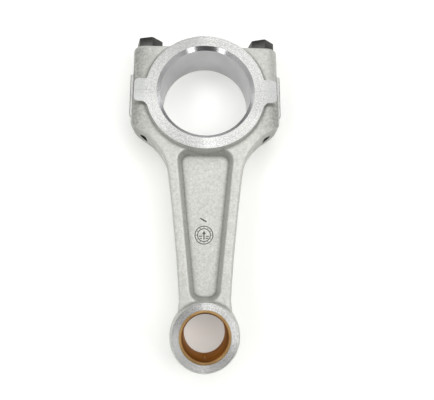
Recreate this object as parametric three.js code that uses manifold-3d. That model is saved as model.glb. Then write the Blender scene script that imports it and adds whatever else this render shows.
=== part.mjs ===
// Connecting rod of a small engine: a cast and machined aluminium rod with a bolted bearing cap.
// Millimetres, +Z up. The rod lies flat, both bores run along Z and the big end points along +Y.
// The origin is under the middle of the whole outline, on the plane of the lower machined faces.

import * as THREE from 'three';
import { mergeVertices } from 'three/addons/utils/BufferGeometryUtils.js';
import Module from 'manifold-3d';

// Driving dimensions: the rod as a whole
const centreDistance = 127;
const endWidth = 26;
const castThickness = 20.4;
const castEdgeRun = 1.1;
const castEdgeDrop = 1.5;
const faceDraft = 0.9;

// Small end
const pinBore = 22;
const bushWall = 1.75;
const bushChamfer = 0.6;
const smallEndWall = 3.55;
const smallEndSkirt = 1.6;
const skirtAngle = 0.62;
const oilHole = 3;
const oilHoleInBush = 2.4;

// Big end
const crankBore = 49;
const bigEndWall = 7.7;
const boreChamfer = 1.85;

// Shank
const neckHalfWidth = 13.05;
const neckRise = 1.2;
const neckFilletRise = 2.6;
const neckFilletSpread = 0.35;
const shankHalfWidth = 19.3;
const shankBow = 1.05;
const flareRun = 15.8;
const flareStartHandle = [1.5, 10.5];
const flareEndHandle = [6.3, 5.8];
const flangeWidth = 5.5;
const pocketDepth = 6;
const pocketDraft = 2;
const pocketCorner = 4.5;
const pocketCornerSpread = 0.2;
const pocketTopSlope = 0.1;
const pocketToBigRing = -0.4;
const pocketToSmallRing = 0.4;

// Bolt bosses, and the cap's shoulders above them
const boltBeyondBore = 7.5;
const bossWall = 8.4;
const bossEdgeRadius = 7;
const bossDepth = 23;
const bossUndercut = 0.4;
const bossTurnHandle = [4.5, 1.6];
const bossCornerLow = 3.6;
const bossCornerHigh = 9;
const seatHeight = 27.2;
const shoulderCorner = 1.8;
const shoulderFillet = 8;
const tabHalf = 6.45;
const tabTopHalf = 6.8;
const tabCorner = 2;
const tabFilletAcross = 2;
const tabFilletDrop = 3;
const padRise = 1.2;
const padHalfHeight = 6;
const padBelow = 11;
const padAbove = 12;

// Fasteners: M8 bolts, flat washers and ring dowels
const boltDiameter = 8;
const boltLength = 50;
const boltPoint = 1.2;
const headAcrossFlats = 13;
const headHeight = 5.8;
const headChamferRun = 0.3;
const headChamferDrop = 0.17;
const headTurnLeft = 13.7;
const headTurnRight = 19.3;
const washerDiameter = 15;
const washerThickness = 1.6;
const dowelWall = 0.8;
const dowelLength = 11;

// Clearances
const pressGap = 0.02;
const restGap = 0.02;
const partingGap = 0.05;
const threadGap = 0.3;
const boltGap = 0.5;
const dowelGap = 0.1;
const dowelEndGap = 0.5;
const boltEndGap = 2.3;
const overlap = 1;

// Facets of a full circle
const fineCircle = 60;
const smallCircle = 24;
const curveSteps = 8;

// Derived sizes. The measuring origin is the pin bore's centre at half the rod's thickness.
const faceZ = endWidth / 2;
const castZ = castThickness / 2;
const bushOuter = pinBore / 2 + bushWall;
const smallRing = bushOuter + smallEndWall;
const smallBoss = smallRing + smallEndSkirt;
const crankRadius = crankBore / 2;
const bigRing = crankRadius + bigEndWall;
const boltX = crankRadius + boltBeyondBore;
const bossHalfWidth = boltX + bossWall;
const boltRadius = boltDiameter / 2;
const dowelInner = boltRadius + boltGap;
const dowelOuter = dowelInner + dowelWall;
const seatY = centreDistance + seatHeight;
const washerY = seatY + restGap;
const headY = washerY + washerThickness + restGap;
const topY = headY + headHeight;
const boltEndY = headY - boltLength;
const far = 4 * centreDistance;

const wasm = await Module();
wasm.setup();

function solid(geometry) {
  const bare = geometry.clone();
  bare.deleteAttribute('normal');
  bare.deleteAttribute('uv');
  const merged = mergeVertices(bare, 1e-4);
  return new wasm.Manifold(new wasm.Mesh({
    numProp: 3,
    vertProperties: Float32Array.from(merged.attributes.position.array),
    triVerts: Uint32Array.from(merged.index.array),
  }));
}

function joined(pieces) {
  return pieces.reduce((whole, piece) => whole.add(piece));
}

function cut(stock, tools) {
  return tools.reduce((left, tool) => left.subtract(tool), stock);
}

// A profile of [radius, height] pairs, from low to high, turned about Y.
function turned(profile, segments) {
  const points = profile.map(([r, h]) => new THREE.Vector2(r, h));
  return new THREE.LatheGeometry(points, segments);
}

function turnedAlongZ(profile, y, segments = fineCircle) {
  return solid(turned(profile, segments).rotateX(Math.PI / 2).translate(0, y, 0));
}

function rodAlongY(radius, y0, y1, x, segments = smallCircle) {
  const bar = new THREE.CylinderGeometry(radius, radius, y1 - y0, segments);
  return solid(bar.translate(x, (y0 + y1) / 2, 0));
}

function block(x0, x1, y0, y1, z0, z1) {
  const box = new THREE.BoxGeometry(x1 - x0, y1 - y0, z1 - z0);
  return solid(box.translate((x0 + x1) / 2, (y0 + y1) / 2, (z0 + z1) / 2));
}

// A closed outline from its right half, which starts and ends on the Y axis.
function mirrored(rightHalf) {
  const right = rightHalf.getPoints(curveSteps);
  const left = right.slice(1, -1).reverse().map((p) => new THREE.Vector2(-p.x, p.y));
  return new THREE.Shape([...right, ...left]);
}

// A slab of an outline with its edges broken by run (inwards) and drop (in thickness).
function slab(outline, halfThickness, run, drop) {
  const body = new THREE.ExtrudeGeometry(outline, {
    depth: 2 * (halfThickness - drop),
    bevelEnabled: true,
    bevelThickness: drop,
    bevelSize: run,
    bevelOffset: -run,
    bevelSegments: 2,
  });
  return solid(body.translate(0, 0, drop - halfThickness));
}

function plate(outline, halfThickness) {
  const body = new THREE.ExtrudeGeometry(outline, {
    depth: 2 * halfThickness,
    bevelEnabled: false,
    curveSegments: curveSteps / 2,
  });
  return solid(body.translate(0, 0, -halfThickness));
}

// The raised machined ring of an end: full width at its faces, a little wider where it leaves the cast skin.
function faceRing(radius, y) {
  return turnedAlongZ([
    [0, -faceZ],
    [radius, -faceZ],
    [radius + faceDraft, -castZ],
    [radius + faceDraft, castZ],
    [radius, faceZ],
    [0, faceZ],
  ], y);
}

// A bore cutter with a chamfer at both faces.
function boreCutter(radius, chamfer, y) {
  const mouth = radius + chamfer + overlap;
  return turnedAlongZ([
    [0, -faceZ - overlap],
    [mouth, -faceZ - overlap],
    [radius, -faceZ + chamfer],
    [radius, faceZ - chamfer],
    [mouth, faceZ + overlap],
    [0, faceZ + overlap],
  ], y);
}

// Lower casting: small-end boss, neck, bowed shank sides, flare and rounded bolt bosses.
function rodOutline() {
  const neckY = smallBoss - neckRise;
  const flareY = centreDistance - bigRing - flareRun;
  const bossY = centreDistance - bossDepth;
  const half = new THREE.Path();
  half.moveTo(0, -smallBoss);
  half.absarc(0, 0, smallBoss, -Math.PI / 2, skirtAngle, false);
  half.quadraticCurveTo(
    neckHalfWidth + neckFilletSpread, smallBoss * Math.sin(skirtAngle) + neckFilletRise,
    neckHalfWidth, neckY,
  );
  const middleX = (neckHalfWidth + shankHalfWidth) / 2 - shankBow;
  half.quadraticCurveTo(middleX, (neckY + flareY) / 2, shankHalfWidth, flareY);
  half.bezierCurveTo(
    shankHalfWidth + flareStartHandle[0], flareY + flareStartHandle[1],
    shankHalfWidth + flareEndHandle[0], bossY - flareEndHandle[1],
    boltX, bossY - bossUndercut,
  );
  half.bezierCurveTo(
    boltX + bossTurnHandle[0], bossY + bossTurnHandle[1],
    bossHalfWidth, bossY + bossCornerLow,
    bossHalfWidth, bossY + bossCornerHigh,
  );
  half.lineTo(bossHalfWidth, centreDistance + castEdgeRun + overlap);
  half.lineTo(0, centreDistance + castEdgeRun + overlap);
  return mirrored(half);
}

// Upper casting: two shoulders with flat bolt seats, filleted into the round back of the cap.
function capOutline() {
  const ring = bigRing + faceDraft;
  const filletX = Math.sqrt((ring + shoulderFillet) ** 2 - (seatHeight + shoulderFillet) ** 2);
  const filletY = seatHeight + shoulderFillet;
  const toRing = Math.atan2(-filletY, -filletX);
  const cornerX = bossHalfWidth - shoulderCorner;
  const cornerY = seatHeight - shoulderCorner;
  const half = new THREE.Path();
  half.moveTo(0, -castEdgeRun - overlap);
  half.lineTo(bossHalfWidth, -castEdgeRun - overlap);
  half.lineTo(bossHalfWidth, cornerY);
  half.absarc(cornerX, cornerY, shoulderCorner, 0, Math.PI / 2, false);
  half.absarc(filletX, filletY, shoulderFillet, -Math.PI / 2, toRing, true);
  half.absarc(0, 0, bigRing - faceDraft, Math.atan2(filletY, filletX), Math.PI / 2, false);
  return mirrored(half);
}

// A squared tab, level with the machined faces, over each bolt at the joint.
function tabOutline(side) {
  const outer = side * (boltX + tabHalf);
  const inner = side * (crankRadius + bigEndWall / 2);
  const filletX = boltX - tabFilletAcross;
  const filletY = -tabHalf - tabFilletDrop;
  const tab = new THREE.Shape();
  tab.moveTo(inner, tabTopHalf);
  tab.lineTo(outer, tabTopHalf);
  tab.lineTo(outer, tabCorner - tabHalf);
  tab.quadraticCurveTo(outer, -tabHalf, outer - side * tabCorner, -tabHalf);
  tab.lineTo(side * boltX, -tabHalf);
  tab.quadraticCurveTo(side * filletX, -tabHalf, side * (filletX - 1), filletY);
  tab.lineTo(inner, filletY);
  return tab;
}

// The bosses' round outer edges: a long bar of the section that the castings keep to.
function edgeEnvelope() {
  const r = bossEdgeRadius;
  const x = bossHalfWidth - r;
  const z = castZ - r;
  const section = new THREE.Shape();
  section.absarc(x, -z, r, -Math.PI / 2, 0, false);
  section.absarc(x, z, r, 0, Math.PI / 2, false);
  section.absarc(-x, z, r, Math.PI / 2, Math.PI, false);
  section.absarc(-x, -z, r, Math.PI, 1.5 * Math.PI, false);
  const bar = new THREE.ExtrudeGeometry(section, {
    depth: far,
    bevelEnabled: false,
    curveSegments: curveSteps,
  });
  return solid(bar.rotateX(Math.PI / 2).translate(0, far / 2, 0));
}

// The pocket in each face of the shank: sloping walls round a flat floor.
function pockets() {
  const lowY = smallRing + pocketToSmallRing;
  const highY = centreDistance - bigRing - pocketToBigRing;
  const flareY = centreDistance - bigRing - flareRun;
  const lowX = neckHalfWidth - flangeWidth;
  const highX = shankHalfWidth - flangeWidth + (highY - flareY) * pocketTopSlope;
  const middleX = (lowX + highX) / 2 - shankBow;
  const half = new THREE.Path();
  half.moveTo(0, lowY);
  half.lineTo(lowX - pocketCorner, lowY);
  half.quadraticCurveTo(lowX, lowY, lowX + pocketCornerSpread, lowY + pocketCorner);
  half.quadraticCurveTo(middleX, (lowY + highY) / 2, highX, highY - pocketCorner);
  half.quadraticCurveTo(highX + pocketCornerSpread, highY, highX - pocketCorner, highY);
  half.lineTo(0, highY);
  const above = faceZ - castZ + 2 * overlap;
  const cutter = new THREE.ExtrudeGeometry(mirrored(half), {
    depth: above,
    bevelEnabled: true,
    bevelThickness: pocketDepth,
    bevelSize: pocketDraft,
    bevelOffset: -pocketDraft,
    bevelSegments: 1,
  });
  const top = solid(cutter.clone().translate(0, 0, castZ));
  const bottom = solid(cutter.clone().translate(0, 0, -castZ - above));
  return [top, bottom];
}

// What the rod and the cap share: the ring, the tabs and the side pads, machined across the joint.
function bigEnd() {
  const pieces = [faceRing(bigRing, 0)];
  for (const side of [-1, 1]) {
    pieces.push(plate(tabOutline(side), faceZ));
    const padX = [side * boltX, side * (bossHalfWidth + padRise)].sort((a, b) => a - b);
    pieces.push(block(...padX, -padBelow, padAbove, -padHalfHeight, padHalfHeight));
  }
  return joined(pieces).translate([0, centreDistance, 0]);
}

function dowelSeats() {
  const reach = dowelLength / 2 + dowelEndGap;
  const y = centreDistance;
  return [-1, 1].map((side) => rodAlongY(dowelOuter + dowelGap, y - reach, y + reach, side * boltX));
}

function rodBody() {
  const lower = block(-far, far, -far, centreDistance - partingGap / 2, -far, far);
  const casting = slab(rodOutline(), castZ, castEdgeRun, castEdgeDrop).intersect(edgeEnvelope());
  const stock = joined([cut(casting, pockets()), faceRing(smallRing, 0), bigEnd()]).intersect(lower);
  const holes = [-1, 1].map((side) => (
    rodAlongY(boltRadius + threadGap, boltEndY - boltEndGap, seatY, side * boltX)
  ));
  const crankBoreCut = boreCutter(crankRadius, boreChamfer, centreDistance);
  const bushSeat = boreCutter(bushOuter + pressGap, 0, 0);
  const oilWay = rodAlongY(oilHole / 2, -2 * smallBoss, 0, 0);
  return cut(stock, [...holes, ...dowelSeats(), crankBoreCut, bushSeat, oilWay]);
}

function bearingCap() {
  const upper = block(-far, far, centreDistance + partingGap / 2, far, -far, far);
  const outline = slab(capOutline(), castZ, castEdgeRun, castEdgeDrop).translate([0, centreDistance, 0]);
  const shoulders = outline.intersect(edgeEnvelope());
  const stock = joined([shoulders, bigEnd()]).intersect(upper);
  const holes = [-1, 1].map((side) => (
    rodAlongY(boltRadius + boltGap, centreDistance - overlap, seatY + shoulderFillet, side * boltX)
  ));
  const seats = [-1, 1].map((side) => (
    rodAlongY(washerDiameter / 2 + boltGap, seatY, topY, side * boltX)
  ));
  const crankBoreCut = boreCutter(crankRadius, boreChamfer, centreDistance);
  return cut(stock, [...holes, ...seats, ...dowelSeats(), crankBoreCut]);
}

function bush() {
  const inner = pinBore / 2;
  const wall = turnedAlongZ([
    [inner, bushChamfer - faceZ],
    [inner + bushChamfer, -faceZ],
    [bushOuter, -faceZ],
    [bushOuter, faceZ],
    [inner + bushChamfer, faceZ],
    [inner, faceZ - bushChamfer],
    [inner, bushChamfer - faceZ],
  ], 0);
  return wall.subtract(rodAlongY(oilHoleInBush / 2, -2 * smallBoss, 0, 0));
}

// A hexagon bolt standing on Y: head on top, plain shank in place of the thread.
function bolt(side, turn) {
  const corner = headAcrossFlats / Math.sqrt(3);
  const crown = corner - headChamferRun;
  const flare = crown + headChamferRun * (headHeight / headChamferDrop);
  const faceTurn = Math.PI / 6 - THREE.MathUtils.degToRad(turn);
  const hexagon = new THREE.CylinderGeometry(corner, corner, headHeight, 6).rotateY(faceTurn);
  const round = solid(turned([
    [0, 0],
    [flare, 0],
    [crown, headHeight],
    [0, headHeight],
  ], smallCircle));
  const head = solid(hexagon.translate(0, headHeight / 2, 0)).intersect(round);
  const shank = solid(turned([
    [0, -boltLength],
    [boltRadius - boltPoint, -boltLength],
    [boltRadius, boltPoint - boltLength],
    [boltRadius, overlap],
    [0, overlap],
  ], smallCircle));
  return head.add(shank).translate([side * boltX, headY, 0]);
}

function tube(inner, outer, y0, y1, x) {
  const hole = rodAlongY(inner, y0 - overlap, y1 + overlap, x);
  return rodAlongY(outer, y0, y1, x).subtract(hole);
}

function washer(side) {
  const inner = boltRadius + boltGap;
  return tube(inner, washerDiameter / 2, washerY, washerY + washerThickness, side * boltX);
}

function dowel(side) {
  const reach = dowelLength / 2;
  return tube(dowelInner, dowelOuter, centreDistance - reach, centreDistance + reach, side * boltX);
}

const castAluminium = { color: 0xc6c6c0, roughness: 0.55, metalness: 0.7 };
const bronze = { color: 0xc08a4a, roughness: 0.4, metalness: 0.9 };
const blackSteel = { color: 0x1c1c1e, roughness: 0.45, metalness: 0.6 };
const brightSteel = { color: 0x9a9ba0, roughness: 0.35, metalness: 0.9 };

const connectingRod = new THREE.Group();
connectingRod.position.set(0, -(topY - smallBoss) / 2, faceZ);

function add(name, body, finish) {
  const raw = body.getMesh();
  const geometry = new THREE.BufferGeometry();
  geometry.setAttribute('position', new THREE.BufferAttribute(raw.vertProperties, 3));
  geometry.setIndex(new THREE.BufferAttribute(raw.triVerts, 1));
  geometry.computeVertexNormals();
  const mesh = new THREE.Mesh(geometry, new THREE.MeshStandardMaterial(finish));
  mesh.name = name;
  connectingRod.add(mesh);
}

add('rod_body', rodBody(), castAluminium);
add('bearing_cap', bearingCap(), castAluminium);
add('small_end_bushing', bush(), bronze);
for (const [name, side, turn] of [['left', -1, headTurnLeft], ['right', 1, headTurnRight]]) {
  add(`cap_bolt_${name}`, bolt(side, turn), blackSteel);
  add(`bolt_washer_${name}`, washer(side), blackSteel);
  add(`locating_dowel_${name}`, dowel(side), brightSteel);
}

export default connectingRod;
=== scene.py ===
import math

import bmesh
import bpy
from mathutils import Matrix, Vector


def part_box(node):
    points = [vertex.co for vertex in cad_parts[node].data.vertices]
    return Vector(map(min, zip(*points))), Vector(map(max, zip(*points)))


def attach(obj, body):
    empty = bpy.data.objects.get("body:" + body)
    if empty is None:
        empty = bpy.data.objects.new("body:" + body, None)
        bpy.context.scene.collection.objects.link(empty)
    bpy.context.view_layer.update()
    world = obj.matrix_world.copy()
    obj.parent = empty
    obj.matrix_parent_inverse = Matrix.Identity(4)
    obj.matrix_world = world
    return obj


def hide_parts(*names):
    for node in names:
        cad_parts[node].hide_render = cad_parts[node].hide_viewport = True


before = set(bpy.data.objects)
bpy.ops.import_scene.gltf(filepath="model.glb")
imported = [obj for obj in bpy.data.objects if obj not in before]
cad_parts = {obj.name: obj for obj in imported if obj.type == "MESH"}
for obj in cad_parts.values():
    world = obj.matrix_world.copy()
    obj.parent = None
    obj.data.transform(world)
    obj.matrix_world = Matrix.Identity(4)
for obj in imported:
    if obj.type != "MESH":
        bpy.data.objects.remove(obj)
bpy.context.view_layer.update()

mm = 0.001
tiny = 1e-6

# Places read from the frame, in millimetres from the piston pin's axis and the middle of the thickness
rodLow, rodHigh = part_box("rod_body")
capLow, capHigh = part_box("bearing_cap")
bushLow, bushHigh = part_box("small_end_bushing")
washerLow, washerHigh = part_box("bolt_washer_right")
boltLow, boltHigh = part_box("cap_bolt_right")
dowelLow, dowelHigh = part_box("locating_dowel_right")
pinY = (bushLow.y + bushHigh.y) / 2
midZ = (rodLow.z + rodHigh.z) / 2
faceZ = (rodHigh.z - midZ) / mm
jointY = ((rodHigh.y + capLow.y) / 2 - pinY) / mm
jointGap = (capLow.y - rodHigh.y) / mm
padX = capHigh.x / mm
boltX = (washerLow.x + washerHigh.x) / 2 / mm
seatY = (washerLow.y - pinY) / mm
headY = (washerHigh.y - pinY) / mm
topY = (boltHigh.y - pinY) / mm
tipY = (boltLow.y - pinY) / mm
bushOuter = (bushHigh.x - bushLow.x) / 2 / mm
washerOuter = (washerHigh.x - washerLow.x) / 2 / mm
dowelOuter = (dowelHigh.x - dowelLow.x) / 2 / mm
skin, faced, bored, bright, grooveShaded = range(5)   # material slots of the two castings


def place(x, y, z):
    # millimetres to metres in the frame
    return Vector((x * mm, y * mm + pinY, z * mm + midZ))


def spot(point):
    # a mesh point back to millimetres
    return Vector((point.x / mm, (point.y - pinY) / mm, (point.z - midZ) / mm))


def deselect():
    bpy.ops.object.select_all(action="DESELECT")


def activate(piece):
    deselect()
    piece.select_set(True)
    bpy.context.view_layer.objects.active = piece


def settle(name):
    piece = bpy.context.object
    bpy.ops.object.transform_apply(location=True, rotation=True, scale=True)
    piece.name = name
    piece.data.name = name
    return piece


def block(name, x, y, z):
    deselect()
    size = [abs(high - low) * mm for low, high in (x, y, z)]
    middle = place(*[(low + high) / 2 for low, high in (x, y, z)])
    bpy.ops.mesh.primitive_cube_add(size=1, location=middle, scale=size)
    return settle(name)


def disc(name, radii, z, x=0, y=0, sides=160):
    # a cylinder or cone along the bores, from low z to high z
    deselect()
    bpy.ops.mesh.primitive_cone_add(
        vertices=sides, radius1=radii[0] * mm, radius2=radii[1] * mm,
        depth=(z[1] - z[0]) * mm, location=place(x, y, (z[0] + z[1]) / 2))
    return settle(name)


def bar(name, radii, y, x=0, z=0, sides=64, turn=0):
    # a cylinder or cone along the rod, from low y to high y
    deselect()
    bpy.ops.mesh.primitive_cone_add(
        vertices=sides, radius1=radii[0] * mm, radius2=radii[1] * mm,
        depth=(y[1] - y[0]) * mm, location=place(x, (y[0] + y[1]) / 2, z),
        rotation=(-math.pi / 2, math.radians(turn), 0))
    return settle(name)


def choose(piece, test, kind="FACE"):
    # goes into edit mode with only the wanted faces, edges or corners selected; leave() ends it
    activate(piece)
    bpy.ops.object.mode_set(mode="EDIT")
    bpy.ops.mesh.select_mode(type=kind)
    bpy.ops.mesh.select_all(action="DESELECT")
    shape = bmesh.from_edit_mesh(piece.data)
    items = {"FACE": shape.faces, "EDGE": shape.edges, "VERT": shape.verts}[kind]
    for item in items:
        if test(item):
            item.select_set(True)
    bmesh.update_edit_mesh(piece.data)


def leave():
    bpy.ops.object.mode_set(mode="OBJECT")


def modify(piece, kind, **settings):
    activate(piece)
    modifier = piece.modifiers.new(kind, kind)
    for key, value in settings.items():
        setattr(modifier, key, value)
    bpy.ops.object.modifier_apply(modifier=modifier.name)


def carve(piece, tool, operation="DIFFERENCE"):
    modify(piece, "BOOLEAN", object=tool, operation=operation, solver="EXACT")
    bpy.data.objects.remove(tool)
    return piece


def gather(parts, name):
    activate(parts[0])
    for part in parts[1:]:
        part.select_set(True)
    bpy.ops.object.join()
    parts[0].name = name
    parts[0].data.name = name
    return parts[0]


def fuse(parts):
    whole = parts[0]
    for part in parts[1:]:
        carve(whole, part, "UNION")
    return whole


def paint(piece, materials, index=0):
    piece.data.materials.clear()
    for material in materials:
        piece.data.materials.append(material)
    for face in piece.data.polygons:
        face.material_index = index
    return piece


def smoothByAngle(piece, degrees=35):
    activate(piece)
    bpy.ops.object.shade_smooth_by_angle(angle=math.radians(degrees))


def twin(piece, name, shift=(0, 0, 0), flip=None):
    # a copy with a mesh of its own, moved along, or mirrored about the pin's axis and the middle plane
    activate(piece)
    bpy.ops.object.duplicate(linked=False)
    copy = bpy.context.object
    copy.name = name
    copy.data.name = name
    choose(copy, lambda face: True)
    if flip:
        bpy.ops.transform.resize(value=flip, center_override=place(0, 0, 0))
        bpy.ops.mesh.normals_make_consistent(inside=False)
    else:
        bpy.ops.transform.translate(value=[step * mm for step in shift])
    leave()
    return copy


def alongY(edge):
    step = edge.verts[0].co - edge.verts[1].co
    return abs(step.x) < tiny and abs(step.z) < tiny


def alongZ(edge):
    step = edge.verts[0].co - edge.verts[1].co
    return abs(step.x) < tiny and abs(step.y) < tiny


def declare(piece, body, cadNode):
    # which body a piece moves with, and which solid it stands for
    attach(piece, body)
    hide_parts(cadNode)


def newGroup(name, inputs, outputs):
    group = bpy.data.node_groups.new(name, "ShaderNodeTree")
    for label, kind, default in inputs:
        socket = group.interface.new_socket(name=label, in_out="INPUT", socket_type=kind)
        socket.default_value = default
    for label, kind in outputs:
        group.interface.new_socket(name=label, in_out="OUTPUT", socket_type=kind)
    start = group.nodes.new("NodeGroupInput")
    end = group.nodes.new("NodeGroupOutput")
    return group, start, end


def node(tree, kind, links=None, **settings):
    made = tree.nodes.new(kind)
    for key, value in settings.items():
        setattr(made, key, value)
    for key, value in (links or {}).items():
        if isinstance(value, bpy.types.NodeSocket):
            tree.links.new(value, made.inputs[key])
        else:
            made.inputs[key].default_value = value
    return made


def maths(tree, operation, first, second=0.0):
    return node(tree, "ShaderNodeMath", {0: first, 1: second}, operation=operation).outputs[0]


def scaled(tree, value, low, high, toLow=0.0, toHigh=1.0):
    made = node(tree, "ShaderNodeMapRange", {
        "Value": value, "From Min": low, "From Max": high, "To Min": toLow, "To Max": toHigh})
    return made.outputs["Result"]


def weighted(tree, values, shares):
    # the sum of some values, each times its share
    total = None
    for name, share in shares.items():
        part = maths(tree, "MULTIPLY", values[name], share)
        total = part if total is None else maths(tree, "ADD", total, part)
    return total


grainMix = {
    "height": {"pits": 0.55, "lumps": 0.45},
    "tone": {"pits": 0.6, "lumps": 0.3, "blotches": 0.1},
    "toneRange": (0.34, 0.66),
}


def buildGrain():
    # blasted sand-cast skin: fine pits, soft lumps and slow changes of tone
    group, start, end = newGroup(
        "castGrain",
        [("Coordinates", "NodeSocketVector", (0, 0, 0)), ("Pits", "NodeSocketFloat", 1500.0),
         ("Lumps", "NodeSocketFloat", 620.0), ("Blotches", "NodeSocketFloat", 170.0)],
        [("Height", "NodeSocketFloat"), ("Tone", "NodeSocketFloat")])
    where = start.outputs["Coordinates"]
    pits = node(group, "ShaderNodeTexNoise", {
        "Vector": where, "Scale": start.outputs["Pits"], "Detail": 3.0, "Roughness": 0.6})
    lumps = node(group, "ShaderNodeTexNoise", {
        "Vector": where, "Scale": start.outputs["Lumps"], "Detail": 2.0, "Roughness": 0.5})
    blotches = node(group, "ShaderNodeTexNoise", {
        "Vector": where, "Scale": start.outputs["Blotches"], "Detail": 4.0, "Roughness": 0.55})
    noises = {"pits": pits.outputs["Fac"], "lumps": lumps.outputs["Fac"], "blotches": blotches.outputs["Fac"]}
    height = weighted(group, noises, grainMix["height"])
    tone = scaled(group, weighted(group, noises, grainMix["tone"]), *grainMix["toneRange"])
    group.links.new(height, end.inputs["Height"])
    group.links.new(tone, end.inputs["Tone"])
    return group


def buildWearAndCreaseShade():
    # convex edges rub bright; concave corners are darkened, part dirt and part painted crease shade
    group, start, end = newGroup(
        "wearAndCreaseShade",
        [("Edge", "NodeSocketFloat", 0.54), ("Corner", "NodeSocketFloat", 0.465)],
        [("Rubbed", "NodeSocketFloat"), ("DirtAndCreaseShade", "NodeSocketFloat")])
    point = node(group, "ShaderNodeNewGeometry").outputs["Pointiness"]
    rubbed = node(group, "ShaderNodeMapRange", {
        "Value": point, "From Min": 0.5, "From Max": start.outputs["Edge"]})
    dirtShadeAmount = node(group, "ShaderNodeMapRange", {
        "Value": point, "From Min": 0.5, "From Max": start.outputs["Corner"]})
    group.links.new(rubbed.outputs["Result"], end.inputs["Rubbed"])
    group.links.new(dirtShadeAmount.outputs["Result"], end.inputs["DirtAndCreaseShade"])
    return group


turningMix = {
    "broadRings": 900.0,
    "height": {"fine": 0.7, "broad": 0.3},
    "tone": {"rings": 0.3, "stains": 0.7},
    "toneRange": (0.35, 0.65),
}


def buildTurning():
    # tool marks in rings: From Axis is the distance from the bore's axis, or along it, in metres
    group, start, end = newGroup(
        "turningMarks",
        [("Coordinates", "NodeSocketVector", (0, 0, 0)), ("From Axis", "NodeSocketFloat", 0.0),
         ("Rings", "NodeSocketFloat", 2600.0), ("Stains", "NodeSocketFloat", 1300.0)],
        [("Height", "NodeSocketFloat"), ("Tone", "NodeSocketFloat")])
    radius = start.outputs["From Axis"]
    fine = node(group, "ShaderNodeTexNoise", {
        "W": radius, "Scale": start.outputs["Rings"], "Detail": 2.0}, noise_dimensions="1D")
    broad = node(group, "ShaderNodeTexNoise", {
        "W": radius, "Scale": turningMix["broadRings"], "Detail": 2.0}, noise_dimensions="1D")
    stains = node(group, "ShaderNodeTexNoise", {
        "Vector": start.outputs["Coordinates"], "Scale": start.outputs["Stains"], "Detail": 3.0})
    rings = {"fine": fine.outputs["Fac"], "broad": broad.outputs["Fac"]}
    height = weighted(group, rings, turningMix["height"])
    tone = weighted(group, {"rings": height, "stains": stains.outputs["Fac"]}, turningMix["tone"])
    group.links.new(height, end.inputs["Height"])
    group.links.new(scaled(group, tone, *turningMix["toneRange"]), end.inputs["Tone"])
    return group


castGrain = buildGrain()
wearAndCreaseShade = buildWearAndCreaseShade()
turningMarks = buildTurning()


def newMaterial(name, metallic, roughness, **sockets):
    material = bpy.data.materials.new(name)
    material.use_nodes = True
    tree = material.node_tree
    shader = tree.nodes["Principled BSDF"]
    shader.inputs["Metallic"].default_value = metallic
    shader.inputs["Roughness"].default_value = roughness
    for key, value in sockets.items():
        shader.inputs[key.replace("_", " ")].default_value = value
    where = node(tree, "ShaderNodeTexCoord").outputs["Object"]
    return material, tree, shader, where


def blendColours(tree, amount, first, second):
    # a Mix node keeps its colours on sockets 6 and 7 and gives the blend on output 2
    made = node(tree, "ShaderNodeMix", {0: amount}, data_type="RGBA")
    for socket, colour in ((made.inputs[6], first), (made.inputs[7], second)):
        if isinstance(colour, bpy.types.NodeSocket):
            tree.links.new(colour, socket)
        else:
            socket.default_value = (*colour, 1)
    return made.outputs[2]


def addBump(tree, shader, height, strength, distance):
    bump = node(tree, "ShaderNodeBump", {"Height": height, "Strength": strength, "Distance": distance})
    tree.links.new(bump.outputs["Normal"], shader.inputs["Normal"])


def addRoughness(tree, shader, tone, darkest, lightest):
    # the lighter patches are also the smoother ones
    tree.links.new(scaled(tree, tone, 0, 1, darkest, lightest), shader.inputs["Roughness"])


def useGroup(tree, group, links=None):
    return node(tree, "ShaderNodeGroup", links, node_tree=group)


castLook = {
    "pale": (0.63, 0.63, 0.595),
    "dull": (0.425, 0.425, 0.4),
    "metallic": 0.5,
    "roughness": (0.62, 0.48),          # on the dull and on the pale patches
    "bump": (0.7, 0.22 * mm),           # strength and height
    # colours and shares of what lies on the skin: rubbed wear, and dirt and grime with painted shade
    "rubbed": (0.70, 0.70, 0.68),
    "rubbedShare": 0.4,
    "creaseDirtShade": (0.2, 0.2, 0.183),
    "creaseDirtShadeShare": 0.85,
    "bossGrimeShade": (0.24, 0.24, 0.222),
    "bossGrimeShadeFrom": 25 * mm,              # where the bosses' grime and painted shade start, and where they are full
    "bossGrimeShadeFull": 37 * mm,
    "spots": 640.0,
    "spotRange": (0.66, 0.34, 0.2, 1.0),
    "rightCapGrimeShadeLeft": 0.25,                # what is left of the grime and painted shade on the cap's right boss
    "lessGrimeShadeAcross": 20 * mm,
    "lessGrimeShadeAlong": 6 * mm,
}


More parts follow.
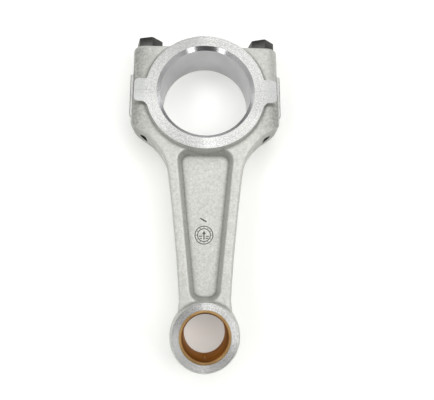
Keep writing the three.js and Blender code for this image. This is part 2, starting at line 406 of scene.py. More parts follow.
def castSkinMaterial():
    look = castLook
    material, tree, shader, where = newMaterial("castSkin", look["metallic"], look["roughness"][0])
    grain = useGroup(tree, castGrain, {"Coordinates": where})
    wearAndShade = useGroup(tree, wearAndCreaseShade)
    colour = blendColours(tree, grain.outputs["Tone"], look["dull"], look["pale"])
    # the bolt bosses darken towards their outer edges: part grime, part painted shade on their rounded sides;
    # less of both on the cap's right boss
    parts = node(tree, "ShaderNodeSeparateXYZ", {0: where})
    jointAt = place(0, jointY, 0).y
    onRight = scaled(tree, parts.outputs["X"], -look["lessGrimeShadeAcross"], look["lessGrimeShadeAcross"])
    onCap = scaled(tree, parts.outputs["Y"], jointAt - look["lessGrimeShadeAlong"], jointAt + look["lessGrimeShadeAlong"])
    lessGrimeShadeRight = scaled(tree, maths(tree, "MULTIPLY", onRight, onCap), 0, 1, 1.0, look["rightCapGrimeShadeLeft"])
    across = maths(tree, "ABSOLUTE", parts.outputs["X"])
    bossGrimeShadeMask = maths(tree, "MULTIPLY", scaled(tree, across, look["bossGrimeShadeFrom"], look["bossGrimeShadeFull"]), lessGrimeShadeRight)
    spots = node(tree, "ShaderNodeTexNoise", {
        "Vector": where, "Scale": look["spots"], "Detail": 5.0, "Roughness": 0.7})
    bossGrimeShade = maths(tree, "MULTIPLY", bossGrimeShadeMask, scaled(tree, spots.outputs["Fac"], *look["spotRange"]))
    rubbed = maths(tree, "MULTIPLY", wearAndShade.outputs["Rubbed"], look["rubbedShare"])
    # concave corners darkened: dirt with painted crease shade
    dirtShadeAmount = maths(tree, "MULTIPLY", wearAndShade.outputs["DirtAndCreaseShade"], look["creaseDirtShadeShare"])
    colour = blendColours(tree, bossGrimeShade, colour, look["bossGrimeShade"])
    colour = blendColours(tree, rubbed, colour, look["rubbed"])
    colour = blendColours(tree, dirtShadeAmount, colour, look["creaseDirtShade"])
    tree.links.new(colour, shader.inputs["Base Color"])
    addRoughness(tree, shader, grain.outputs["Tone"], *look["roughness"])
    addBump(tree, shader, grain.outputs["Height"], *look["bump"])
    return material


machinedBump = (0.25, 0.01 * mm)

facedLook = {
    "light": (0.43, 0.43, 0.42),
    "grey": (0.33, 0.33, 0.322),
    "roughness": (0.27, 0.22),
    "anisotropy": 0.98,                 # the lathe's rings draw light out across them
    "tabTint": (0.33, 0.338, 0.334),
    "tabShare": 0.7,
    "tabFrom": 31.5 * mm,               # distance from the crank bore's axis
    "tabFull": 34.5 * mm,
}


def facedMaterial():
    look = facedLook
    material, tree, shader, where = newMaterial("turnedFace", 1.0, look["roughness"][0],
                                                Anisotropic=look["anisotropy"])
    parts = node(tree, "ShaderNodeSeparateXYZ", {0: where})
    nearCrank = maths(tree, "GREATER_THAN", parts.outputs["Y"], place(0, jointY / 2, 0).y)
    axisY = scaled(tree, nearCrank, 0, 1, place(0, 0, 0).y, place(0, jointY, 0).y)
    fromX = parts.outputs["X"]
    fromY = maths(tree, "SUBTRACT", parts.outputs["Y"], axisY)
    squareX = maths(tree, "MULTIPLY", fromX, fromX)
    squareY = maths(tree, "MULTIPLY", fromY, fromY)
    radius = maths(tree, "SQRT", maths(tree, "ADD", squareX, squareY))
    marks = useGroup(tree, turningMarks, {"Coordinates": where, "From Axis": radius})
    outward = node(tree, "ShaderNodeCombineXYZ", {"X": fromX, "Y": fromY, "Z": 0.0})
    tangent = node(tree, "ShaderNodeVectorMath", {0: outward.outputs[0]}, operation="NORMALIZE")
    tree.links.new(tangent.outputs[0], shader.inputs["Tangent"])
    colour = blendColours(tree, marks.outputs["Tone"], look["grey"], look["light"])
    onTab = scaled(tree, radius, look["tabFrom"], look["tabFull"])
    colour = blendColours(tree, maths(tree, "MULTIPLY", onTab, look["tabShare"]), colour, look["tabTint"])
    tree.links.new(colour, shader.inputs["Base Color"])
    addRoughness(tree, shader, marks.outputs["Tone"], *look["roughness"])
    addBump(tree, shader, marks.outputs["Height"], *machinedBump)
    return material


def boredMaterial(name, light, dark, roughness, **sockets):
    # a bored or reamed wall: fine rings along the bore, soft stains
    material, tree, shader, where = newMaterial(name, 1.0, roughness, **sockets)
    parts = node(tree, "ShaderNodeSeparateXYZ", {0: where})
    marks = useGroup(tree, turningMarks, {
        "Coordinates": where, "From Axis": parts.outputs["Z"], "Rings": 7000.0, "Stains": 60.0})
    colour = blendColours(tree, marks.outputs["Tone"], dark, light)
    tree.links.new(colour, shader.inputs["Base Color"])
    addRoughness(tree, shader, marks.outputs["Tone"], roughness + 0.05, roughness - 0.04)
    addBump(tree, shader, marks.outputs["Height"], *machinedBump)
    return material


steelLook = {
    "metallic": 0.85,
    "rubbed": (0.2, 0.2, 0.2),
    "rubbedShare": 0.3,
    "bump": (0.3, 0.04 * mm),
}


def blackedMaterial(name, light, dark, roughness):
    # oiled black oxide over forged or rolled steel
    look = steelLook
    material, tree, shader, where = newMaterial(name, look["metallic"], roughness)
    grain = useGroup(tree, castGrain, {
        "Coordinates": where, "Pits": 2400.0, "Lumps": 1100.0, "Blotches": 260.0})
    wearAndShade = useGroup(tree, wearAndCreaseShade, {"Edge": 0.6})
    rubbed = maths(tree, "MULTIPLY", wearAndShade.outputs["Rubbed"], look["rubbedShare"])
    colour = blendColours(tree, grain.outputs["Tone"], dark, light)
    colour = blendColours(tree, rubbed, colour, look["rubbed"])
    tree.links.new(colour, shader.inputs["Base Color"])
    addRoughness(tree, shader, grain.outputs["Tone"], roughness + 0.1, roughness - 0.08)
    addBump(tree, shader, grain.outputs["Height"], *look["bump"])
    return material


markShadeLook = {
    "dark": (0.06, 0.055, 0.045),
    "light": (0.17, 0.16, 0.14),
    "roughness": 0.8,
    "bump": (0.5, 0.1 * mm),
}


def markShadeMaterial():
    # near-black painted shade in the grooves of the cast and struck marks, part dirt and mould dressing
    look = markShadeLook
    material, tree, shader, where = newMaterial("markGrooveShade", 0.0, look["roughness"])
    grain = useGroup(tree, castGrain, {"Coordinates": where, "Pits": 3000.0})
    colour = blendColours(tree, grain.outputs["Tone"], look["dark"], look["light"])
    tree.links.new(colour, shader.inputs["Base Color"])
    addBump(tree, shader, grain.outputs["Height"], *look["bump"])
    return material


castSkin = castSkinMaterial()
turnedFace = facedMaterial()
boredWall = boredMaterial("boredWall", (0.53, 0.53, 0.54), (0.44, 0.44, 0.45), 0.36)
brightCut = boredMaterial("brightChamfer", (0.88, 0.88, 0.89), (0.78, 0.78, 0.79), 0.17)
markGrooveShade = markShadeMaterial()
castingMaterials = [castSkin, turnedFace, boredWall, brightCut, markGrooveShade]
bronzeFace = boredMaterial("bronzeFace", (0.41, 0.27, 0.12), (0.29, 0.18, 0.075), 0.6)
bronzeBore = boredMaterial("bronzeBore", (0.44, 0.21, 0.07), (0.26, 0.12, 0.045), 0.42,
                           Specular_Tint=(0.62, 0.42, 0.28, 1))
blackBolt = blackedMaterial("blackOxide", (0.078, 0.079, 0.072), (0.028, 0.028, 0.026), 0.38)
washerSteel = blackedMaterial("washerSteel", (0.26, 0.26, 0.29), (0.16, 0.16, 0.18), 0.32)
dowelSteel = boredMaterial("dowelSteel", (0.6, 0.6, 0.62), (0.42, 0.42, 0.44), 0.3)
print("materials ready")


casting = {
    "castZ": 10.2,          # half the thickness of the cast flanges
    "stock": 0.8,           # metal that machining takes off the faces
    "draft": 0.9,           # how much wider the raised faces are at their foot
    "voxel": 0.5,           # fineness of the cast skin
    "softening": 8,         # how often the cast surface is smoothed
    "rim": 1.8,             # rounding of the flanges' outer edges
    "ripple": 0.1,          # unevenness of the sand-cast skin, and its size across
    "rippleSize": 2.2,
    "bossX": {"rod": 41.1, "cap": 40.4},
    "edgeRadius": 7,        # rounding of the bosses' outer edges
    "crankRadius": 24.5,
    "boreChamfer": 1.85,
    "bigRing": 32.2,
    "far": 60,              # past everything, for the tools
    "mill": 9,              # how thick a slab the facing tools clear
}
tabShape = {
    "reach": 6.45,          # past the joint towards the shank, and past the bolts
    "above": 6.8,           # past the joint towards the bolt heads
    "inner": 27,
    "under": 5,
    "foot": 0.7,            # how much wider it is cast
    "taper": (0.88, 0.87, 1),
    "corner": 2.2,
    "web": 1.5,
}
padShape = {
    "z": 6,
    "below": 11,
    "above": 12,
    "inner": 34,
    "relief": 0.3,          # cut into the boss above and under the pad
    "edge": 0.55,
}
castZ = casting["castZ"]
stockZ = faceZ + casting["stock"]
bossX = casting["bossX"]["cap"]


def envelope(wide):
    # the section that a casting keeps to: round outer edges on the bolt bosses
    made = block("envelope", (-wide, wide), (-casting["far"], jointY + casting["far"]), (-castZ, castZ))
    choose(made, alongY, "EDGE")
    bpy.ops.mesh.bevel(offset=casting["edgeRadius"] * mm, segments=8, affect="EDGES")
    leave()
    return made


def raisedRing(radius, y):
    # a machined face stands on a slightly wider foot
    draft = casting["draft"]
    lean = draft * casting["stock"] / (faceZ - castZ)
    foot = disc("foot", (radius + draft, radius + draft), (-castZ, castZ), y=y)
    top = disc("top", (radius + draft, radius - lean), (castZ, stockZ), y=y)
    bottom = disc("bottom", (radius - lean, radius + draft), (-stockZ, -castZ), y=y)
    return [foot, top, bottom]


def tabs():
    # the squared tabs beside the ring, over the bolts
    half = tabShape["reach"]
    foot = tabShape["foot"]
    z = (tabShape["under"], stockZ)
    tab = block("tab", (tabShape["inner"], boltX + half + foot),
                (jointY - half - foot, jointY + tabShape["above"] + foot), z)
    choose(tab, lambda face: face.normal.z > 0.9)
    bpy.ops.transform.resize(value=tabShape["taper"], center_override=place(boltX - 1, jointY, 0))
    leave()
    outer = boltX + half - 2
    choose(tab, lambda edge: all(spot(vert.co).x > outer for vert in edge.verts)
           and abs(edge.verts[0].co.z - edge.verts[1].co.z) > mm, "EDGE")
    bpy.ops.mesh.bevel(offset=tabShape["corner"] * mm, segments=5, affect="EDGES")
    leave()
    # a web fills the corner between tab and ring
    corner = math.sqrt(casting["bigRing"] ** 2 - half ** 2)
    web = disc("web", (tabShape["web"],) * 2, z, x=corner, y=jointY - half, sides=4)
    tab = gather([tab, web], "tab")
    under = twin(tab, "tab", flip=(1, 1, -1))
    return [tab, under, twin(tab, "tab", flip=(-1, 1, 1)), twin(under, "tab", flip=(-1, 1, 1))]


def sidePads():
    deep = padShape["z"] + casting["stock"]
    pad = block("pad", (padShape["inner"], padX + casting["stock"]),
                (jointY - padShape["below"], jointY + padShape["above"]), (-deep, deep))
    return [pad, twin(pad, "pad", flip=(-1, 1, 1))]


def soften(piece):
    # one closed skin over all that was joined, with cast fillets and edges
    modify(piece, "REMESH", mode="VOXEL", voxel_size=casting["voxel"] * mm, use_smooth_shade=True)
    modify(piece, "SMOOTH", factor=0.5, iterations=casting["softening"])
    sand = bpy.data.textures.new("sandRipple", "CLOUDS")
    sand.noise_scale = casting["rippleSize"] * mm
    sand.noise_depth = 2
    modify(piece, "DISPLACE", texture=sand, texture_coords="LOCAL", strength=casting["ripple"] * mm,
           mid_level=0.5)


def softenWhere(piece, test, rounds):
    choose(piece, lambda vert: test(spot(vert.co)), "VERT")
    bpy.ops.mesh.vertices_smooth(factor=0.5, repeat=rounds)
    leave()


def flare(tool, radius, chamfer, over, y):
    # both ends of a bore's tool widen at 45 degrees, and run a little past the faces
    grow = (radius + chamfer + over) / radius
    for up in (-1, 1):
        choose(tool, lambda face: face.normal.z * up > 0.9)
        bpy.ops.mesh.extrude_region_move(
            TRANSFORM_OT_translate={"value": (0, 0, up * (chamfer + over) * mm)})
        bpy.ops.transform.resize(value=(grow, grow, 1), center_override=place(0, y, up * (faceZ + over)))
        leave()


def crankBoreTool():
    radius = casting["crankRadius"]
    chamfer = casting["boreChamfer"]
    tool = disc("crankBore", (radius, radius), (chamfer - faceZ, faceZ - chamfer), y=jointY, sides=192)
    paint(tool, castingMaterials, bored)
    flare(tool, radius, chamfer, 1.5, jointY)
    # the sloping faces are the two chamfers
    for face in tool.data.polygons:
        if 0.2 < abs(face.normal.z) < 0.9:
            face.material_index = bright
    return tool


def facingTools():
    # what mills both faces, and the flats and edges of the side pads; no two tools end in one plane
    far = casting["far"]
    padZ = padShape["z"]
    reliefX = bossX - padShape["relief"]
    made = []
    for up in (-1, 1):
        made.append(block("facing", (-far, far), (-far, jointY + far),
                          (up * faceZ, up * (faceZ + casting["mill"]))))
    for side in (-1, 1):
        made.append(block("siding", (side * padX, side * (far + 1)), (-far - 1, jointY + far + 1), (-11, 11)))
        for up in (-1, 1):
            made.append(block("siding", (side * reliefX, side * (far + 2)), (-far - 2, jointY + far + 2),
                              (up * padZ, up * (padZ + 6))))
            made.append(bar("padEdge", (padShape["edge"],) * 2, (jointY - 20, jointY + 20),
                            side * padX, up * padZ, sides=4))
    return [paint(tool, castingMaterials, faced) for tool in made]


def dowelTools():
    reach = (dowelHigh.y - dowelLow.y) / 2 / mm + 0.5
    radius = dowelOuter + 0.1
    ends = (jointY - reach, jointY + reach)
    return [paint(bar("dowelSeat", (radius, radius), ends, side * boltX), castingMaterials, bored)
            for side in (-1, 1)]


rodShape = {
    # half-width of the casting at stations along it, from the pin's axis
    "sides": [(0, 13.4), (12.5, 13.6), (17, 13.05), (27, 13.75), (39, 14.75), (55.5, 16.5), (68, 17.9),
              (79, 19.3), (84.5, 20.1), (89.5, 21.6), (95, 24.3), (99, 27.4), (103, 31.6), (106.4, 36.4),
              (108.8, 39.7), (111.6, 41.1), (115, 41.2), (129, 41.2)],
    "smallBoss": 17.9,
    "smallDraft": 0.6,
    "smallRing": 16.3,
    "pocketFloor": 4.2,
    "pocketDraft": 2,
    "pocketLow": (16.7, 7.25),      # distance from the pin's axis, half-width at the rim
    "pocketHigh": (95.4, 15.35),
    "lowCorner": 4.8,
    "highCorner": 6.4,
    "rimEnd": 106,                  # the outer edges are rounded up to here
    "roundedFrom": (29, 13),        # out from the middle, and down from the joint
    "rounding": 8,
    "threadHole": 4.1,
    "threadEnd": 103.5,
    "oilHole": 1.5,
}


def shankPlate():
    sides = rodShape["sides"]
    startY, wide = sides[0]
    plate = block("rodCasting", (-wide, wide), (startY, sides[1][0]), (-castZ, castZ))
    choose(plate, lambda face: face.normal.y > 0.9)
    # the block already reaches the second station, so the first step only widens its end
    for index, (y, toWide) in enumerate(sides[1:]):
        if index:
            bpy.ops.mesh.extrude_region_move(
                TRANSFORM_OT_translate={"value": (0, (y - sides[index][0]) * mm, 0)})
        bpy.ops.transform.resize(value=(toWide / wide, 1, 1), center_override=place(0, y, 0))
        wide = toWide
    leave()
    return plate


def outerRim(edge):
    # the flanges' outer edges, clear of the pocket
    (lowY, lowWide), (highY, highWide) = rodShape["pocketLow"], rodShape["pocketHigh"]
    if not edge.is_manifold or edge.calc_face_angle() < 0.9:
        return False
    for vert in edge.verts:
        p = spot(vert.co)
        share = min(max((p.y - lowY) / (highY - lowY), 0), 1)
        pocketWide = lowWide + share * (highWide - lowWide)
        if abs(p.z) < castZ - 0.01 or p.y > rodShape["rimEnd"] or abs(p.x) < pocketWide + 1.5:
            return False
    return True


def pocketTool(up):
    lowY, lowWide = rodShape["pocketLow"]
    highY, highWide = rodShape["pocketHigh"]
    above = 4
    tool = block("pocket", (-lowWide, lowWide), (lowY, highY), (up * castZ, up * (castZ + above)))
    choose(tool, lambda face: face.normal.y > 0.9)
    bpy.ops.transform.resize(value=(highWide / lowWide, 1, 1), center_override=place(0, highY, 0))
    leave()
    for high, radius in ((False, rodShape["lowCorner"]), (True, rodShape["highCorner"])):
        choose(tool, lambda edge: alongZ(edge)
               and (spot(edge.verts[0].co).y > (lowY + highY) / 2) == high, "EDGE")
        bpy.ops.mesh.bevel(offset=radius * mm, segments=6, affect="EDGES")
        leave()
    choose(tool, lambda face: face.normal.z * up < -0.9)
    bpy.ops.mesh.inset(thickness=rodShape["pocketDraft"] * mm, depth=(castZ - rodShape["pocketFloor"]) * mm)
    leave()
    return tool


def castRod():
    plate = shankPlate()
    carve(plate, envelope(casting["bossX"]["rod"]), "INTERSECT")
    carve(plate, pocketTool(1))
    carve(plate, pocketTool(-1))
    choose(plate, outerRim, "EDGE")
    bpy.ops.mesh.bevel(offset=casting["rim"] * mm, segments=4, affect="EDGES")
    leave()
    boss = rodShape["smallBoss"]
    edge = boss - rodShape["smallDraft"]
    eye = [disc("eye", (boss, edge), (0, castZ)), disc("eye", (edge, boss), (-castZ, 0))]
    parts = [plate, *eye, *raisedRing(rodShape["smallRing"], 0), *raisedRing(casting["bigRing"], jointY),
             *tabs(), *sidePads()]
    rod = gather(parts, "rodCasting")
    soften(rod)
    # the undersides of the bosses are rounder still
    inner, below = rodShape["roundedFrom"]
    softenWhere(rod, lambda p: abs(p.x) > inner and p.y < jointY - below and abs(p.z) > 1,
                rodShape["rounding"])
    return rod


markShape = {
    "x": -0.6,
    "y": 50.3,
    "rings": (4.95, 3.6),
    "line": 0.52,
    "depth": 0.4,
    "dots": 12,
    "dot": 0.27,
    "shaft": (0.33, -2.3, 0.9),         # half-width, foot and top, from the ring's middle
    "tip": (1.2, 1.1),                  # size and place of the arrow's head
    "bars": ((1.0, 2.2, -2.0, -1.45), (1.0, 2.6, -0.9, -0.35)),
    "nickFrom": (-2.6, 59.2),
    "nickTo": (0.7, 57.3),
    "nickWide": 0.8,
}


def markTools():
    # a plain date ring: two circles, a dot for each month, an arrow and short bars; and the nick beyond it
    floor = rodShape["pocketFloor"]
    x, y = markShape["x"], markShape["y"]
    line = markShape["line"]
    z = (floor - markShape["depth"], floor + 1)
    made = []
    for radius in markShape["rings"]:
        inner = radius - line
        made.append(carve(disc("ring", (radius, radius), z, x=x, y=y, sides=72),
                          disc("hole", (inner, inner), (z[0] - 1, z[1] + 1), x=x, y=y, sides=72)))
    middle = (sum(markShape["rings"]) - line) / 2
    for count in range(markShape["dots"]):
        angle = 2 * math.pi * count / markShape["dots"]
        made.append(disc("dot", (markShape["dot"],) * 2, z, x=x + middle * math.cos(angle),
                         y=y + middle * math.sin(angle), sides=12))
    wide, foot, top = markShape["shaft"]
    arrow = block("shaft", (x - wide, x + wide), (y + foot, y + top), z)
    size, rise = markShape["tip"]
    made.append(carve(arrow, disc("tip", (size, size), z, x=x, y=y + rise, sides=3), "UNION"))
    for side in (-1, 1):
        for inner, outer, low, high in markShape["bars"]:
            made.append(block("bar", (x + side * inner, x + side * outer), (y + low, y + high), z))
    (fromX, fromY), (toX, toY) = markShape["nickFrom"], markShape["nickTo"]
    half = math.hypot(toX - fromX, toY - fromY) / 2
    nickX, nickY = (fromX + toX) / 2, (fromY + toY) / 2
    wide = markShape["nickWide"] / 2
    nick = block("nick", (nickX - half, nickX + half), (nickY - wide, nickY + wide), z)
    choose(nick, lambda face: True)
    bpy.ops.transform.rotate(value=-math.atan2(toY - fromY, toX - fromX), orient_axis="Z",
                             center_override=place(nickX, nickY, floor))
    leave()
    made.append(nick)
    # the marks' grooves take the near-black painted groove shade
    return [paint(tool, castingMaterials, grooveShaded) for tool in made]


def machineRod(rod):
    far = casting["far"]
    paint(rod, castingMaterials, skin)
    seat = bushOuter + 0.02
    tools = facingTools()
    split = block("split", (-far - 2, far + 2), (jointY - jointGap / 2, jointY + far + 3), (-17, 17))
    tools.append(paint(split, castingMaterials, faced))
    tools.append(crankBoreTool())
    tools.append(paint(disc("bushSeat", (seat, seat), (-18, 18), sides=128), castingMaterials, bored))
    hole = rodShape["threadHole"]
    tools += [paint(bar("threadHole", (hole, hole), (rodShape["threadEnd"], jointY + 5), side * boltX),
                    castingMaterials, bored) for side in (-1, 1)]
    tools += dowelTools()
    oilWay = bar("oilWay", (rodShape["oilHole"],) * 2, (-30, -5), sides=32)
    tools.append(paint(oilWay, castingMaterials, bored))
    carve(rod, gather([fuse(tools), *markTools()], "rodTools"))
    smoothByAngle(rod)
    return rod


capShape = {
    "seatStock": 0.3,
    "corner": 2.2,
    "fillet": 8,
    "boltHole": 4.5,
    "spotFace": 0.8,        # how much wider than the washer
}


def capFillets():
    # quarter-hollows between the flat shoulders and the round back
    made = []
    ring = casting["bigRing"] + casting["draft"]
    radius = capShape["fillet"]
    rise = seatY - jointY + capShape["seatStock"]
    hollowX = math.sqrt((ring + radius) ** 2 - (rise + radius) ** 2)
    touchX = hollowX * ring / (ring + radius)
    touchY = (rise + radius) * ring / (ring + radius)
    for side in (-1, 1):
        fill = block("fill", (side * (touchX - 3), side * hollowX),
                     (jointY + rise - 6, jointY + touchY), (-castZ, castZ))
        hollow = disc("hollow", (radius, radius), (-20, 20),
                      x=side * hollowX, y=jointY + rise + radius, sides=96)
        made.append(carve(fill, hollow))
    return made


def castCap():
    top = seatY + capShape["seatStock"]
    shoulders = block("capCasting", (-bossX - 1, bossX + 1), (jointY - 4, top), (-castZ - 1, castZ + 1))
    carve(shoulders, envelope(bossX), "INTERSECT")
    choose(shoulders, lambda edge: all(spot(vert.co).y > top - 0.5 and abs(spot(vert.co).x) > bossX - 0.5
                                       for vert in edge.verts), "EDGE")
    bpy.ops.mesh.bevel(offset=capShape["corner"] * mm, segments=5, affect="EDGES")
    leave()
    parts = [shoulders, *capFillets(), *raisedRing(casting["bigRing"], jointY), *tabs(), *sidePads()]
    cap = gather(parts, "capCasting")
    soften(cap)
    return cap


def machineCap(cap):
    far = casting["far"]
    paint(cap, castingMaterials, skin)
    tools = facingTools()
    split = block("split", (-far - 2, far + 2), (-far, jointY + jointGap / 2), (-17, 17))
    tools.append(paint(split, castingMaterials, faced))
    tools.append(crankBoreTool())
    hole = capShape["boltHole"]
    spotFace = washerOuter + capShape["spotFace"]
    for side in (-1, 1):
        tools.append(paint(bar("boltHole", (hole, hole), (jointY - 5, seatY + 5), side * boltX),
                           castingMaterials, bored))
        tools.append(paint(bar("spotFace", (spotFace, spotFace), (seatY, seatY + 12), side * boltX),
                           castingMaterials, faced))
    tools += dowelTools()
    carve(cap, fuse(tools))
    smoothByAngle(cap)
    return cap


rodCasting = machineRod(castRod())
declare(rodCasting, "rod", "rod_body")
print("rod casting", len(rodCasting.data.polygons))

capCasting = machineCap(castCap())
declare(capCasting, "cap", "bearing_cap")
print("cap casting", len(capCasting.data.polygons))


bushShape = {
    "bore": 11,
    "chamfer": 0.6,
    "edge": 0.125,
    "oilHole": 1.2,
}


def makeBush():
    # its end faces take the first material, its walls the second
    materials = [bronzeFace, bronzeBore]
    bush = disc("bronzeBush", (bushOuter, bushOuter), (-faceZ, faceZ), sides=128)
    paint(bush, materials)
    bore = bushShape["bore"]
    chamfer = bushShape["chamfer"]
    tool = disc("bushBore", (bore, bore), (chamfer - faceZ, faceZ - chamfer), sides=128)
    paint(tool, materials, 1)
    flare(tool, bore, chamfer, 1, 0)
    carve(bush, tool)
    carve(bush, paint(bar("oilHole", (bushShape["oilHole"],) * 2, (-30, -2), sides=32), materials, 1))
    modify(bush, "BEVEL", width=bushShape["edge"] * mm, segments=2, limit_method="ANGLE",
           angle_limit=math.radians(40))
    smoothByAngle(bush, 30)
    return bush


bronzeBush = makeBush()
declare(bronzeBush, "rod", "small_end_bushing")
print("bush", len(bronzeBush.data.polygons))


boltShape = {
    "acrossFlats": 13,
    "crownRadius": 7.25,    # the round top of the head, and how fast its edge falls away
    "crownSlope": 1.73,
    "thread": 3.97,
    "core": 3.3,
    "sunk": 0.15,
    "pitch": 1.25,
    "flank": 0.9,           # the tooth's foot, as a share of the pitch, and its crest, as a share of the foot
    "crest": 0.16,
    "turns": 17,
    "plain": 27.5,          # length of the smooth shank
    "point": 1.0,
    "edge": 0.14,
    "turnLeft": 13.7,       # how far each head is turned, in degrees
    "turnRight": 19.3,
}


def threadRidge(x):
    # one tooth of the thread, wound up the core, with its foot sunk a little into it
    pitch = boltShape["pitch"]
    foot = boltShape["core"] - boltShape["sunk"]
    lift = (boltShape["thread"] - foot) * mm
    deselect()
    bpy.ops.mesh.primitive_plane_add(size=1, location=(0, 0, 0))
    ridge = settle("ridge")
    choose(ridge, lambda vert: True, "VERT")
    bpy.ops.transform.resize(value=(lift, pitch * boltShape["flank"] * mm, 1), center_override=(0, 0, 0))
    bpy.ops.transform.translate(value=(foot * mm + lift / 2, 0, 0))
    leave()
    choose(ridge, lambda vert: vert.co.x > foot * mm + lift / 2, "VERT")
    bpy.ops.transform.resize(value=(1, boltShape["crest"], 1), center_override=(0, 0, 0))
    leave()
    choose(ridge, lambda face: True)
    bpy.ops.mesh.delete(type="ONLY_FACE")
    leave()
    modify(ridge, "SCREW", axis="Y", screw_offset=pitch * mm, angle=2 * math.pi,
           iterations=boltShape["turns"], steps=40, render_steps=40, use_merge_vertices=False,
           use_normal_calculate=True)
    choose(ridge, lambda edge: edge.is_boundary, "EDGE")
    bpy.ops.mesh.edge_face_add()
    leave()
    choose(ridge, lambda face: True)
    bpy.ops.mesh.normals_make_consistent(inside=False)
    leave()
    activate(ridge)
    ridge.location = place(x, tipY + 0.3, 0)
    bpy.ops.object.transform_apply(location=True, rotation=True, scale=True)
    return ridge


def makeBolt(name, turn):
    # the left bolt: head, thread and plain shank
    x = -boltX
    shape = boltShape
    corner = shape["acrossFlats"] / math.sqrt(3)
    head = bar(name, (corner, corner), (headY, topY), x, sides=6, turn=30 - turn)
    slope = (topY - headY) * shape["crownSlope"]
    crown = bar("crown", (shape["crownRadius"] + slope, shape["crownRadius"]), (headY, topY), x, sides=96)
    carve(head, crown, "INTERSECT")
    modify(head, "BEVEL", width=shape["edge"] * mm, segments=2, limit_method="ANGLE",
           angle_limit=math.radians(25))
    core = bar("core", (shape["core"],) * 2, (tipY, headY - 1), x, sides=40)
    carve(core, threadRidge(x), "UNION")
    # the end of the thread is trimmed to a point
    wide = shape["thread"] + 0.5
    pointY = tipY + shape["point"]
    point = bar("point", (shape["core"] - 0.5, wide), (tipY, pointY), x, sides=40)
    upper = bar("upper", (wide, wide), (pointY, topY), x, sides=40)
    carve(core, fuse([point, upper]), "INTERSECT")
    plain = bar("plain", (shape["thread"],) * 2, (headY - shape["plain"], headY + 1), x, sides=64)
    carve(core, plain, "UNION")
    carve(head, core, "UNION")
    paint(head, [blackBolt])
    smoothByAngle(head, 32)
    return head


washerShape = {
    "hole": 4.5,
    "edge": 0.22,
}
dowelShape = {
    "wall": 0.8,
    "edge": 0.25,
}


def makeCollar(name, outer, hole, y, edge, material):
    # a washer or ring dowel on the left bolt
    collar = bar(name, (outer, outer), y, -boltX, sides=96)
    carve(collar, bar("hole", (hole, hole), (y[0] - 2, y[1] + 2), -boltX, sides=64))
    modify(collar, "BEVEL", width=edge * mm, segments=2, limit_method="ANGLE", angle_limit=math.radians(40))
    paint(collar, [material])
    smoothByAngle(collar, 30)
    return collar


toRight = (2 * boltX, 0, 0)

boltLeft = makeBolt("capBolt_left", boltShape["turnLeft"])
boltRight = twin(boltLeft, "capBolt_right", toRight)
choose(boltRight, lambda face: True)
bpy.ops.transform.rotate(value=math.radians(boltShape["turnRight"] - boltShape["turnLeft"]), orient_axis="Y",
                         center_override=place(boltX, 0, 0))
leave()
declare(boltLeft, "bolt_left", "cap_bolt_left")
declare(boltRight, "bolt_right", "cap_bolt_right")
print("bolts", len(boltLeft.data.polygons))

washerLeft = makeCollar("boltWasher_left", washerOuter, washerShape["hole"], (seatY, headY),
                        washerShape["edge"], washerSteel)
declare(washerLeft, "cap", "bolt_washer_left")
washerRight = twin(washerLeft, "boltWasher_right", toRight)
declare(washerRight, "cap", "bolt_washer_right")
print("washers")

dowelY = ((dowelLow.y - pinY) / mm, (dowelHigh.y - pinY) / mm)
dowelLeft = makeCollar("ringDowel_left", dowelOuter, dowelOuter - dowelShape["wall"], dowelY,
                       dowelShape["edge"], dowelSteel)
declare(dowelLeft, "rod", "locating_dowel_left")
dowelRight = twin(dowelLeft, "ringDowel_right", toRight)
declare(dowelRight, "rod", "locating_dowel_right")
print("dowels")


studio = {
    "floor": 4.0,           # metres across, as are the sizes and places below
    "floorColour": (0.7, 0.705, 0.685),
    "floorGlow": 0.32,      # keeps the shadow beside the rod soft
    "skyFaint": 0.07,
    "skySides": 0.95,
    "skyFrom": (0.26, 0.4),             # where the light sides of the sky begin, across the rod
    "skyFade": (0.72, 1.0, 1.0, 0.3),   # and fade again
    "skyTop": (0.5, 0.32),              # how high they reach
    # name: power, size across and along the rod, place
    "banks": {
        "overheadSoftbox": (4.15, (0.44, 1.32), (0.22, 0.38, 0.8)),
        "overheadSmall": (1.3, (0.44, 0.44), (-0.22, 0.38, 0.8)),
        "leftSoftbox": (5.4, (0.44, 1.15), (-0.66, -0.14, 0.8)),
        "rightSoftbox": (3.7, (0.44, 0.5), (0.66, -0.06, 0.8)),
        "strip_0": (0.07, (0.02, 0.5), (-0.036, 0.1, 0.76)),
        "strip_1": (0.07, (0.02, 0.5), (0.0125, 0.1, 0.76)),
        "strip_2": (0.07, (0.02, 0.5), (0.055, 0.1, 0.76)),
    },
    "sidePower": 0.2,
    "sideSize": 0.2,
    "sideTurn": 28,
    "sideRise": 30,
}


def makeFloor():
    deselect()
    bpy.ops.mesh.primitive_plane_add(size=studio["floor"], location=(0, 0, rodLow.z))
    floor = bpy.context.object
    floor.name = "paleFloor"
    material, tree, shader, where = newMaterial("paleFloor", 0.0, 0.9)
    shader.inputs["Base Color"].default_value = (*studio["floorColour"], 1)
    shader.inputs["Specular IOR Level"].default_value = 0
    shader.inputs["Emission Color"].default_value = (*studio["floorColour"], 1)
    shader.inputs["Emission Strength"].default_value = studio["floorGlow"] / studio["floorColour"][0]
    floor.data.materials.append(material)


def makeLight(name, energy, size, location, aim):
    deselect()
    bpy.ops.object.light_add(type="AREA", location=location)
    lamp = bpy.context.object
    lamp.name = name
    lamp.data.energy = energy
    lamp.data.shape = "RECTANGLE"
    lamp.data.size, lamp.data.size_y = size
    lamp.rotation_euler = (Vector(aim) - Vector(location)).to_track_quat("-Z", "Y").to_euler()


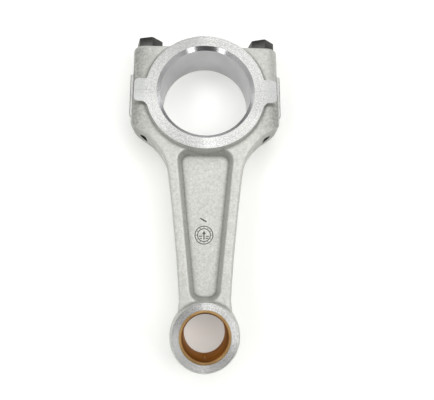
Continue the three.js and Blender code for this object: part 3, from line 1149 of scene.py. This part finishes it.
def makeSky():
    # a faint room, lighter low down on both sides of the rod
    world = bpy.data.worlds.new("softRoom")
    bpy.context.scene.world = world
    world.use_nodes = True
    tree = world.node_tree
    back = tree.nodes["Background"]
    back.inputs["Color"].default_value = (1, 1, 1, 1)
    direction = node(tree, "ShaderNodeTexCoord").outputs["Generated"]
    toward = node(tree, "ShaderNodeSeparateXYZ", {0: direction})
    across = maths(tree, "ABSOLUTE", toward.outputs["X"])
    begin = scaled(tree, across, *studio["skyFrom"])
    fade = scaled(tree, across, *studio["skyFade"])
    low = scaled(tree, toward.outputs["Z"], *studio["skyTop"])
    share = maths(tree, "MULTIPLY", maths(tree, "MULTIPLY", begin, fade), low)
    strength = scaled(tree, share, 0, 1, studio["skyFaint"], studio["skySides"])
    tree.links.new(strength, back.inputs["Strength"])


def makeLights():
    focus = place(0, jointY, 0)
    for name, (power, size, at) in studio["banks"].items():
        makeLight(name, power, size, at, at[:2] + (0,))
    # two low boxes beyond the small end, a metre from the joint
    turn, rise = math.radians(studio["sideTurn"]), math.radians(studio["sideRise"])
    out, back, up = math.sin(turn) * math.cos(rise), math.cos(turn) * math.cos(rise), math.sin(rise)
    size = studio["sideSize"]
    for word, side in (("left", -1), ("right", 1)):
        makeLight(f"sideSoftbox_{word}", studio["sidePower"], (size, size),
                  focus + Vector((side * out, -back, up)), focus)


viewpoint = {
    "from": (-3.748, 27.599, 224.207),      # millimetres, from the pin's axis and the middle plane
    "right": (0.998982, -0.001992, 0.045064),
    "up": (-0.006377, 0.982756, 0.184797),
    "lens": 34.93,
}


def makeCamera():
    camera = bpy.data.objects.new("camera", bpy.data.cameras.new("camera"))
    bpy.context.scene.collection.objects.link(camera)
    right = Vector(viewpoint["right"]).normalized()
    up = Vector(viewpoint["up"])
    back = right.cross(up).normalized()
    up = back.cross(right)
    turn = Matrix((right, up, back)).transposed().to_4x4()
    camera.matrix_world = Matrix.Translation(place(*viewpoint["from"])) @ turn
    camera.data.lens = viewpoint["lens"]
    camera.data.sensor_width = 36
    camera.data.clip_start = 0.01
    bpy.context.scene.camera = camera


makeFloor()
makeSky()
makeLights()
makeCamera()
bpy.context.scene.view_settings.view_transform = "Standard"
print("studio")
